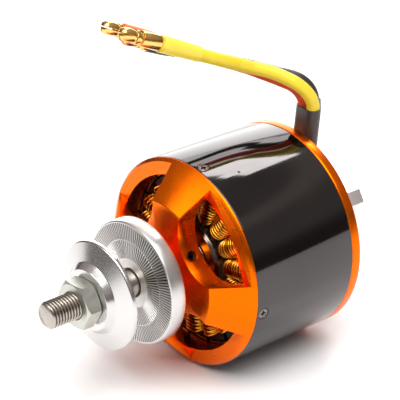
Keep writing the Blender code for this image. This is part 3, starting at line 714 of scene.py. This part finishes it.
def make_shaft():
    """The shaft, with a cut screw thread on the propeller end and painted shade in the thread's roots."""
    front, back = along("shaft")
    radius = reach("shaft")
    start = front + 0.25 * MM
    step = THREAD_PITCH / THREAD_STEPS
    stations = [front, start]
    stations += [start + step * (i + 1) for i in range(int((THREAD_END - front) / step))]
    groove_front, groove_back = along("circlip")[0] - 0.2 * MM, along("circlip")[1] + 0.2 * MM
    plain = [
        (radius, THREAD_END + 0.6 * MM), (radius, groove_front - 0.05 * MM),
        (radius - CIRCLIP_GROOVE, groove_front), (radius - CIRCLIP_GROOVE, groove_back),
        (radius, groove_back + 0.05 * MM), (radius, back - 0.5 * MM), (radius - 0.5 * MM, back),
    ]
    bm = bmesh.new()
    rings = []
    for y in stations:
        ring = []
        chamfer = max(0.0, radius - TIP_CHAMFER + (y - front) * TIP_SLOPE)
        fade = min(1.0, max(0.0, (THREAD_END - y) / THREAD_PITCH))
        for i, (x, z) in enumerate(circle(1.0, SHAFT_FACETS)):
            depth = cut_depth(((y - front) / THREAD_PITCH + i / SHAFT_FACETS) % 1.0)
            r = min(radius - depth * fade, chamfer)
            ring.append(bm.verts.new((r * x, y, r * z)))
        rings.append(ring)
    for r, y in plain:
        rings.append([bm.verts.new((x, y, z)) for x, z in circle(r, SHAFT_FACETS)])
    skin(bm, rings)
    # Painted shade: faces deep in the thread's roots, between the tip and the end of the thread, take the
    # darker steel.
    for face in bm.faces:
        centre = face.calc_center_median()
        low = math.hypot(centre.x, centre.z) < radius - 0.45 * THREAD_DEPTH
        face.material_index = int(low and front + 0.8 * MM < centre.y < THREAD_END)
    shaft = finish_mesh("threaded_shaft", bm, SHAFT_STEEL, smooth_angle=50.0)
    shaft.data.materials.append(THREAD_SHADE_STEEL)
    shaft.location = AXIS
    place_piece(shaft, "rotor", "shaft_steel", "shaft")


# For each ring of teeth, its inner and outer radius and the number of teeth.
COLLAR_BANDS = ((7.4 * MM, 12.6 * MM, 90), (12.9 * MM, 17.7 * MM, 120))
COLLAR_FACETS = 1440
TOOTH_DEPTH = 0.7 * MM
TOOTH_LAND = 0.45  # the flat share of a tooth
BAND_GAP = 0.05 * MM  # over which the face falls away beside a ring of teeth
FACE_FALL = 0.1 * MM  # how far the face lies behind the tips of the teeth


def make_collar():
    """The drive collar, with two rings of fine radial teeth on its front face, and painted shade on the
    sunken sides of the teeth.
    """
    front, back = along("prop_collar")
    radius = reach("prop_collar")
    (inner_start, inner_end, inner_teeth), (outer_start, outer_end, outer_teeth) = COLLAR_BANDS
    low = front + FACE_FALL
    profile = [
        (SHAFT_HOLE, back, 0), (radius - 0.5 * MM, back, 0), (radius - 0.12 * MM, back - 0.12 * MM, 0),
        (radius, back - 0.5 * MM, 0), (radius, front + 0.55 * MM, 0),
        (radius - 0.15 * MM, front + 0.2 * MM, 0), (radius - 0.5 * MM, front, 0),
        (outer_end + BAND_GAP, front, 0), (outer_end, front, outer_teeth),
        (outer_start, front, outer_teeth), (outer_start - BAND_GAP, low, 0),
        (inner_end + BAND_GAP, low, 0), (inner_end, front, inner_teeth),
        (inner_start, front, inner_teeth), (inner_start - BAND_GAP, low, 0),
        (SHAFT_HOLE + 0.4 * MM, low, 0), (SHAFT_HOLE, front + 0.4 * MM, 0),
    ]
    bm = bmesh.new()
    rings = []
    for r, y, teeth in profile:
        ring = []
        for i, (x, z) in enumerate(circle(r, COLLAR_FACETS)):
            slope = abs((i * teeth / COLLAR_FACETS) % 1.0 - 0.5) * 2
            notch = TOOTH_DEPTH * max(0.0, slope - TOOTH_LAND) / (1 - TOOTH_LAND) if teeth else 0.0
            ring.append(bm.verts.new((x, y + notch, z)))
        rings.append(ring)
    skin(bm, rings, closed=True)
    # Painted shade: faces sunk into the front face inside the outer ring of teeth, mostly the sloped sides
    # of the teeth, take the darker groove material.
    for face in bm.faces:
        centre = face.calc_center_median()
        in_groove_shade = front + 0.15 * TOOTH_DEPTH < centre.y < front + TOOTH_DEPTH
        face.material_index = int(in_groove_shade and math.hypot(centre.x, centre.z) < outer_end)
    collar = finish_mesh("collar_disc", bm, ALUMINIUM, smooth_angle=25.0)
    collar.data.materials.append(GROOVE_SHADE_METAL)
    collar.location = AXIS
    place_piece(collar, "rotor", "turned_aluminium", "prop_collar")


WASHER_RIM = 1.5 * MM
WASHER_HOLE = 4.25 * MM


def make_washer():
    front, back = along("cone_washer")
    radius = reach("cone_washer")
    outline = [
        (WASHER_HOLE, back), (radius - 0.3 * MM, back), (radius, back - 0.3 * MM),
        (radius, back - WASHER_RIM + 0.3 * MM), (radius - 0.3 * MM, back - WASHER_RIM),
        (10.6 * MM, back - 3.3 * MM), (9.2 * MM, front + 0.2 * MM), (9.0 * MM, front),
        (WASHER_HOLE, front),
    ]
    washer = lathe("washer_disc", rounded(outline, radius=0.15 * MM, steps=3), BRIGHT_ALUMINIUM)
    place_piece(washer, "clamp_washer", "turned_aluminium", "cone_washer")


NUT_FLATS = 13.0 * MM
NUT_HOLE = 3.75 * MM
NUT_MOUTH = 4.3 * MM
NUT_FACETS = 120
NUT_CLEAR = NUT_FLATS / 2 * 0.97  # the radius outside which the corners are turned down
NUT_SLOPE = math.tan(math.radians(30))
NUT_REACH_BACK = 0.2 * MM  # closes most of the gap that the CAD leaves to the washer


def nut_ring(end, inward=0, radius=None):
    """Points round the nut: on a circle, or on the hexagon with its corners turned inward."""
    points = []
    for i in range(NUT_FACETS):
        angle = 2 * math.pi * i / NUT_FACETS
        r = radius or NUT_FLATS / 2 / math.cos(angle % (math.pi / 3) - math.pi / 6)
        drop = max(0.0, r - NUT_CLEAR) * NUT_SLOPE
        points.append((r * math.cos(angle), end + inward * drop, r * math.sin(angle)))
    return points


def make_nut():
    front, back = along("prop_nut")
    back += NUT_REACH_BACK
    face = NUT_CLEAR * 0.995
    rings = [
        nut_ring(front + 0.6 * MM, radius=NUT_HOLE), nut_ring(front, radius=NUT_MOUTH),
        nut_ring(front, radius=face), nut_ring(front, inward=1), nut_ring(back, inward=-1),
        nut_ring(back, radius=face), nut_ring(back, radius=NUT_MOUTH),
        nut_ring(back - 0.6 * MM, radius=NUT_HOLE),
    ]
    nut = solid("nut_body", rings, ZINC, closed=True, smooth_angle=20.0)
    nut.location = AXIS
    place_piece(nut, "prop_nut", "zinc_nut", "prop_nut")


# ---------------------------------------------------------------- stator

SLOTS = 18
FIRST_TOOTH = 10.0
WIRE_RADIUS = 0.36 * MM
WIRE_PITCH = 2.25 * WIRE_RADIUS
WIRE_SIDES = 8
WINDING_SEED = 7
DARK_SHARE = 0.2  # of the wires in a winding
TOOTH_HALF = 1.6 * MM
CORE_CLEAR = 0.35 * MM
SLOT_CLEAR = 0.06 * MM
WINDING_LAYERS = 4
LAYER_STEP = 0.56 * MM  # between layers along the sides of a tooth
END_STEP = 0.74 * MM  # between layers where the wire turns round the end of the core
WINDING_DEPTHS = (15.9 * MM, 22.6 * MM)  # the innermost and outermost turn, from the shaft
END_LEAN = 1.5 * MM  # how far the innermost end turns lean in over the yoke
END_SPREAD = 1.5 * MM  # how far the outermost end turns lean out over the tooth tip
END_POINTS = 9
END_PLAY = 0.08  # in millimetres, how unevenly the end turns lie
DEPTH_PLAY = 0.04  # in millimetres, how unevenly the turns lie along the tooth


def winding_loop(half_width, front, back, depth, lean):
    """One turn of wire round a tooth: straight sides and round ends that lean in to the shaft."""
    points = []
    round_length = 0.8 * half_width
    for centre, start in ((back - round_length, 0.0), (front + round_length, math.pi)):
        for i in range(END_POINTS):
            a = start + math.pi * i / (END_POINTS - 1)
            bulge = math.sin(a)
            place = (half_width * math.cos(a), centre + round_length * bulge, depth - lean * abs(bulge))
            points.append(Vector(place))
    return points


def cross_section(point, side, up, radius, sides):
    """Points round a point, in the plane of two directions."""
    return [point + (side * x + up * y) * radius for x, y in circle(1.0, sides)]


def add_loop(bm, points, radius, material):
    """A closed loop of wire through the points, in this material slot of the mesh."""
    rings = []
    up = Vector((0.0, 0.0, 1.0))
    for i, point in enumerate(points):
        direction = (points[(i + 1) % len(points)] - points[i - 1]).normalized()
        side = direction.cross(up).normalized()
        rings.append(cross_section(point, side, side.cross(direction), radius, WIRE_SIDES))
    start = len(bm.faces)
    skin(bm, [[bm.verts.new(corner) for corner in ring] for ring in rings], closed=True)
    bm.faces.ensure_lookup_table()
    for face in bm.faces[start:]:
        face.material_index = material


def make_windings():
    dice = random.Random(WINDING_SEED)
    core_front, core_back = along("stator_core")
    slope = math.tan(math.radians(180 / SLOTS))
    low, high = WINDING_DEPTHS
    turns = int((high - low) / WIRE_PITCH)
    first = CORE_CLEAR + WIRE_RADIUS
    for i in range(SLOTS):
        bm = bmesh.new()
        for layer in range(WINDING_LAYERS):
            for k in range(turns):
                depth = low + (k + 0.5 * (layer % 2)) * WIRE_PITCH
                side = min(TOOTH_HALF + first + layer * LAYER_STEP, depth * slope - SLOT_CLEAR - WIRE_RADIUS)
                end = first + layer * END_STEP + dice.uniform(-END_PLAY, END_PLAY) * MM
                share = (depth - low) / (high - low)
                lean = END_LEAN * (1 - share) - END_SPREAD * share
                depth += dice.uniform(-DEPTH_PLAY, DEPTH_PLAY) * MM
                loop = winding_loop(side, core_front - end, core_back + end, depth, lean)
                add_loop(bm, loop, WIRE_RADIUS, int(dice.random() < DARK_SHARE))
        winding = finish_mesh(f"winding_{i + 1:02d}", bm, COPPER, smooth_angle=70.0)
        winding.data.materials.append(DARK_COPPER)
        point_outward(winding, FIRST_TOOTH + i * 360 / SLOTS, 0.0)
        place_piece(winding, "stator", "enamelled_copper", f"coil_{i + 1:02d}")


TUBE_RADII = (11.4 * MM, 12.95 * MM)
TUBE_RIDGES = 4
RIDGE_FOOT = 0.1 * MM
RIDGE_HEIGHT = 0.35 * MM


def make_tube_rim():
    """The turned front end of the stator tube, with fine ridges round the bearing."""
    front = along("stator_base")[0]
    inner, outer = TUBE_RADII
    width = (outer - inner) / TUBE_RIDGES
    outline = [(inner, front - RIDGE_FOOT / 2)]
    for i in range(TUBE_RIDGES):
        start = inner + i * width
        outline += [
            (start + 0.1 * width, front - RIDGE_FOOT), (start + 0.5 * width, front - RIDGE_HEIGHT),
            (start + 0.9 * width, front - RIDGE_FOOT),
        ]
    outline.append((outer, front - RIDGE_FOOT / 2))
    rim = lathe("stator_tube_rim", rounded(outline, radius=0.06 * MM, steps=2), DARK_STEEL)
    place_piece(rim, "stator", "bearing_steel")


BALLS = 7
BALL_RADIUS = 1.1 * MM
BALL_CIRCLE = 7.75 * MM
SHIELD_INNER = 6.75 * MM
SHIELD_OUTER = 8.75 * MM
SHIELD_HALF = 0.12 * MM
SHIELD_INSET = 0.35 * MM


def make_bearings():
    """The shields and balls between the CAD rings of both bearings."""
    for name in ("front", "rear"):
        front, back = along(f"{name}_bearing_outer")
        for y, label in ((front + SHIELD_INSET, "a"), (back - SHIELD_INSET, "b")):
            ring = [
                (SHIELD_INNER, y - SHIELD_HALF), (SHIELD_OUTER, y - SHIELD_HALF),
                (SHIELD_OUTER, y + SHIELD_HALF), (SHIELD_INNER, y + SHIELD_HALF),
            ]
            shield = lathe(f"{name}_bearing_shield_{label}", ring, BEARING_STEEL, facets=96)
            place_piece(shield, "stator", "bearing_steel")
        middle = (front + back) / 2
        for i in range(BALLS):
            bm = bmesh.new()
            bmesh.ops.create_uvsphere(bm, u_segments=16, v_segments=8, radius=BALL_RADIUS)
            ball = finish_mesh(f"{name}_bearing_ball_{i + 1}", bm, BEARING_STEEL)
            x, z = polar(BALL_CIRCLE, i * 360 / BALLS)
            ball.location = AXIS + Vector((x, middle, z))
            place_piece(ball, "stator", "bearing_steel")


# ---------------------------------------------------------------- cross mount and its bolts

MOUNT_BOLTS = 4
BOLT_SHANK = 2.0 * MM


def make_mount_bolts():
    for i in range(MOUNT_BOLTS):
        low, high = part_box(f"mount_screw_{i + 1}")
        centre = (low + high) / 2
        top = high.y - AXIS.y
        head = (high.x - low.x) / 2
        outline = [
            (BOLT_SHANK, low.y - AXIS.y), (BOLT_SHANK, top - (head - BOLT_SHANK)),
            (head - 0.05 * MM, top - 0.15 * MM), (head - 0.2 * MM, top),
        ]
        bolt = spindle(f"mount_bolt_{i + 1}", outline, BLACK_OXIDE)
        cut(bolt, [hex_tool(flats=2.5 * MM, depth=1.6 * MM, top=top)])
        bolt.rotation_euler = Euler((math.radians(-90), 0.0, 0.0))
        bolt.location = Vector((centre.x, AXIS.y, centre.z))
        place_piece(bolt, "stator", "dark_screw", f"mount_screw_{i + 1}")


def dress_cad(node, material, bevel):
    """Gives a CAD node its final material, smooth rounds and slightly softened edges."""
    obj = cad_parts[node]
    obj.data.materials.clear()
    obj.data.materials.append(material)
    weld = obj.modifiers.new("weld", "WELD")
    weld.merge_threshold = 0.002 * MM
    if bevel:
        add_bevel(obj, bevel)


def dress_cad_nodes():
    dress_cad("cross_mount", PALE_ALUMINIUM, 0.35 * MM)
    dress_cad("stator_base", TUBE_ALLOY, 0.2 * MM)
    dress_cad("stator_core", LAMINATION, 0.0)
    dress_cad("magnet_ring", MAGNET_NICKEL, 0.0)
    dress_cad("circlip", BLACK_OXIDE, 0.08 * MM)
    for name in ("front", "rear"):
        for side in ("inner", "outer"):
            dress_cad(f"{name}_bearing_{side}", BEARING_STEEL, 0.2 * MM)


# ---------------------------------------------------------------- leads and connectors

LEAD_RADIUS = 1.95 * MM
LEAD_SIDES = 28
LEAD_PITCH = 4.25 * MM
SLEEVE_FOOT = Vector((2.0, 46.6, 56.0)) * MM
SLEEVE_TOP = Vector((2.5, 47.6, 68.7)) * MM
NOTCH_FLOOR = 17.3 * MM
BUNDLE_ACROSS = Vector((0.657, 0.754, 0.0))
BUNDLE_FRONT = Vector((0.754, -0.657, 0.0))
BUNDLE = {"yellow": (0.20, 0.80), "red": (-0.35, -0.02), "black": (0.25, -0.82)}

# Each lead's route in the air, in millimetres, from above the sleeve to its connector.
ROUTES = {
    "yellow": (
        (5.4, 45.3, 71.9), (4.5, 43.7, 74.6), (3.0, 41.8, 76.8), (0.9, 39.7, 78.4),
        (-1.3, 37.6, 79.7), (-3.6, 35.2, 80.8), (-6.0, 31.4, 82.1), (-7.4, 25.0, 84.9),
        (-8.6, 18.3, 87.8), (-10.2, 10.9, 91.3), (-11.9, 2.8, 95.0),
    ),
    "red": (
        (0.9, 45.5, 72.1), (-0.5, 43.5, 74.7), (-3.0, 40.7, 76.5), (-5.6, 38.7, 77.6),
        (-7.4, 37.1, 78.4), (-9.8, 34.8, 79.6), (-11.9, 31.1, 81.3), (-13.2, 26.2, 83.5),
        (-14.8, 21.1, 85.9), (-16.5, 15.7, 88.5), (-17.9, 9.4, 91.4), (-19.4, 2.6, 94.6),
    ),
    "black": (
        (-0.2, 50.0, 71.9), (-1.7, 48.3, 74.4), (-4.0, 46.2, 75.8), (-7.4, 44.0, 76.3),
        (-9.5, 43.1, 76.6), (-10.6, 42.6, 76.7), (-14.8, 40.6, 77.1), (-18.0, 37.7, 77.9),
        (-20.7, 32.3, 79.9), (-21.8, 26.1, 82.4), (-23.1, 20.4, 84.9), (-24.5, 14.0, 87.5),
    ),
}


def lead_points(colour):
    """From the notch in the stator flange, up through the sleeve, then the free route."""
    lean = (SLEEVE_TOP - SLEEVE_FOOT) / (SLEEVE_TOP.z - SLEEVE_FOOT.z)
    start = SLEEVE_FOOT + lean * (AXIS.z + NOTCH_FLOOR - SLEEVE_FOOT.z)
    across, front = BUNDLE[colour]
    offset = (BUNDLE_ACROSS * across + BUNDLE_FRONT * front) * LEAD_PITCH
    inside = [start + offset]
    inside += [SLEEVE_FOOT.lerp(SLEEVE_TOP, share / 3) + offset for share in range(4)]
    return inside + [Vector(point) * MM for point in ROUTES[colour]]


def smooth_points(route, per_span=8):
    """Points on a Catmull-Rom curve through the route."""
    ends = [2 * route[0] - route[1]] + route + [2 * route[-1] - route[-2]]
    dense = []
    for a, b, c, d in zip(ends, ends[1:], ends[2:], ends[3:]):
        for step in range(per_span):
            t = step / per_span
            dense.append(
                0.5 * (2 * b + (c - a) * t + (2 * a - 5 * b + 4 * c - d) * t * t
                       + (3 * b - a - 3 * c + d) * t * t * t)
            )
    return dense + [route[-1]]


def path_length(points):
    return sum((q - p).length for p, q in zip(points, points[1:]))


def frames_along(points):
    """A direction and two sideways vectors at each point, carried along without twist."""
    side = None
    made = []
    for i, point in enumerate(points):
        direction = (points[min(i + 1, len(points) - 1)] - points[max(i - 1, 0)]).normalized()
        if side is None:
            side = direction.orthogonal().normalized()
        side = (side - direction * side.dot(direction)).normalized()
        made.append((point, side, direction.cross(side).normalized()))
    return made


def tube(name, points, radii, material):
    """A tube with flat ends through the points, with one radius for each."""
    rings = []
    for (point, side, up), radius in zip(frames_along(points), radii):
        rings.append(cross_section(point, side, up, radius, LEAD_SIDES))
    return solid(name, rings, material)


def last_stretch(points, length):
    """The end of a path, from this far back along it."""
    start = path_length(points) - length
    walked, found = 0.0, []
    for p, q in zip(points, points[1:]):
        if walked >= start:
            found.append(p)
        walked += (q - p).length
    return found + [points[-1]]


# (radius, z) in millimetres, from the solder cup to the tip of the spring pin.
BULLET_OUTLINE = (
    (1.75, 0.1), (2.25, 0.0), (2.35, 0.15), (2.35, 6.6), (2.25, 6.85), (1.65, 7.0), (1.6, 8.0),
    (2.05, 8.1), (2.1, 8.3), (2.05, 8.9), (1.75, 9.05), (1.7, 9.3), (1.85, 9.9), (2.0, 10.8),
    (2.02, 11.6), (1.95, 12.5), (1.75, 13.3), (1.35, 13.75), (0.7, 13.95),
)
SLIT_HALF = 0.17 * MM
SLIT_START = 9.4 * MM
SLIT_REACH = 3.0 * MM  # past the pin's surface on both sides
SLIT_END = 15.0 * MM  # past the pin's tip


def make_bullet(colour, points, roll):
    """A bullet connector at the end of a lead, with two crossed slits in its spring pin."""
    direction = (points[-1] - points[-4]).normalized()
    outline = [(radius * MM, z * MM) for radius, z in BULLET_OUTLINE]
    bullet = spindle(f"bullet_pin_{colour}", outline, GOLD, facets=40)
    slit = [
        (-SLIT_REACH, -SLIT_HALF), (SLIT_REACH, -SLIT_HALF),
        (SLIT_REACH, SLIT_HALF), (-SLIT_REACH, SLIT_HALF),
    ]
    cut(bullet, [stamp_tool(rotated(slit, angle), SLIT_END, SLIT_START) for angle in (0, 90)])
    bullet.rotation_mode = "QUATERNION"
    turn = direction.to_track_quat("Z", "Y")
    bullet.rotation_quaternion = turn @ Euler((0.0, 0.0, math.radians(roll))).to_quaternion()
    bullet.location = points[-1]
    place_piece(bullet, "stator", "gold_plate", f"bullet_{colour}")
    return bullet, direction


SHRINK_WALL = 0.38 * MM
SHRINK_SWELL = 0.22 * MM


def make_shrink(colour, points, direction, before, after, material):
    """Heat-shrink over the joint: tight on the lead, wider over the connector's barrel."""
    path = last_stretch(points, before)
    path += [points[-1] + direction * d for d in (0.4 * MM, after * 0.5, after - 0.3 * MM, after)]
    radii, walked = [], 0.0
    for i, point in enumerate(path):
        if i:
            walked += (point - path[i - 1]).length
        share = min(1.0, walked / (before * 0.75))
        swell = share * share * (3 - 2 * share)
        radii.append(LEAD_RADIUS + SHRINK_WALL + SHRINK_SWELL * swell)
    radii[-1] -= 0.25 * MM
    sleeve = tube(f"shrink_{colour}", path, radii, material)
    place_piece(sleeve, "stator", f"{colour}_insulation")
    return sleeve


WRAP_POINTS = 72
SLEEVE_LEVELS = 14
SLEEVE_SEED = 3
SLEEVE_PLAY = 0.05 * MM
SLEEVE_WALL = 0.4 * MM
SLEEVE_WAVES = 5
SLEEVE_DIP = 0.012  # as a share of its width
FOOT_SWAY = 0.006  # as a share of its length


def sleeve_outline(offset):
    """The tight outline round the three leads, this far from their centres."""
    centres = [Vector(place) * LEAD_PITCH for place in BUNDLE.values()]
    points = []
    for i in range(WRAP_POINTS):
        away = Vector(polar(1.0, 360 * i / WRAP_POINTS))
        point = max(centres, key=away.dot) + away * offset
        points.append(BUNDLE_ACROSS * point.x + BUNDLE_FRONT * point.y)
    return points


def make_sleeve():
    """Heat-shrink round the leads: it dips in between them a little, and its foot is uneven."""
    dice = random.Random(SLEEVE_SEED)
    inner = sleeve_outline(LEAD_RADIUS + SLEEVE_PLAY)
    outer = sleeve_outline(LEAD_RADIUS + SLEEVE_PLAY + SLEEVE_WALL)
    lean = SLEEVE_TOP - SLEEVE_FOOT
    rings = []
    for level in range(SLEEVE_LEVELS + 1):
        share = level / SLEEVE_LEVELS
        middle = SLEEVE_FOOT.lerp(SLEEVE_TOP, share)
        swell = 1.0 - SLEEVE_DIP * math.sin(SLEEVE_WAVES * math.pi * share) ** 2
        ring = []
        for point in outer:
            sway = lean * dice.uniform(-FOOT_SWAY, FOOT_SWAY) if level == 0 else Vector((0.0, 0.0, 0.0))
            ring.append(middle + point * swell + sway)
        rings.append(ring)
    for middle in (SLEEVE_TOP, SLEEVE_FOOT):
        rings.append([middle + point for point in inner])
    sleeve = solid("sleeve_wrap", rings, SLEEVE_BLACK, closed=True)
    place_piece(sleeve, "stator", "black_insulation", "lead_sleeve")
    return sleeve


# For each lead, its material and its heat-shrink's, how far the heat-shrink reaches before and after
# the end of the lead, and the roll of the connector's slits in degrees.
LEAD_LOOKS = {
    "yellow": (YELLOW, YELLOW_SHRINK, 13.5 * MM, 0.2 * MM, 20.0),
    "red": (RED, RED_SHRINK, 4.0 * MM, 7.3 * MM, 8.0),
    "black": (BLACK, BLACK, 5.0 * MM, 5.6 * MM, 40.0),
}


def make_leads():
    sleeve = make_sleeve()
    for colour, (material, shrink_material, before, after, roll) in LEAD_LOOKS.items():
        points = smooth_points(lead_points(colour))
        cable = tube(f"cable_{colour}", points, [LEAD_RADIUS] * len(points), material)
        place_piece(cable, "stator", f"{colour}_insulation", f"lead_{colour}")
        bullet, direction = make_bullet(colour, points, roll)
        shrink = make_shrink(colour, points, direction, before, after, shrink_material)


# ---------------------------------------------------------------- the whole scene


make_camera()
make_studio()
make_leads()
make_bell()
make_can()
make_rear_ring()
make_can_screws()
make_set_screws()
make_shaft()
make_collar()
make_washer()
make_nut()
make_windings()
make_tube_rim()
make_bearings()
make_mount_bolts()
dress_cad_nodes()
